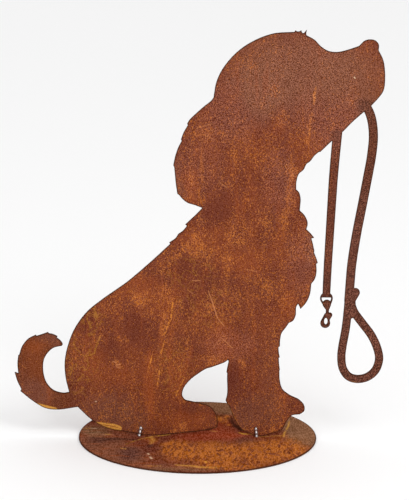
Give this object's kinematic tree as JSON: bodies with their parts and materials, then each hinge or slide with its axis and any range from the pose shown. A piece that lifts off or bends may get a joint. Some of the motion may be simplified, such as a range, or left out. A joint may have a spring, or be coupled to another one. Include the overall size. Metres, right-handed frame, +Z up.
{
  "type": "sheet steel puppy silhouette sculpture",
  "caption": "Sitting puppy with its own lead in its mouth, cut as one flat silhouette from rusted sheet steel and welded upright across a round steel base.",
  "frame": {"origin": "centre of the base's underside, on the surface that the sculpture stands on", "axes": "+Z up, +X towards the puppy's nose, so the flat front of the figure with its two welds faces -Y"},
  "size_m": [0.4634, 0.3, 0.5202],
  "materials": {
    "rusted_figure": "matt red-brown rust, mottled and streaked by rain, with ochre edges",
    "rusted_base": "matt brown rust with ochre run-off below the figure",
    "bare_weld": "shiny bare weld metal with a dark oxide edge"
  },
  "bodies": {
    "root": {"base_plate": "rusted_base", "dog_figure": "rusted_figure", "weld_bead_rear": "bare_weld", "weld_bead_front": "bare_weld"}
  },
  "joints": []
}
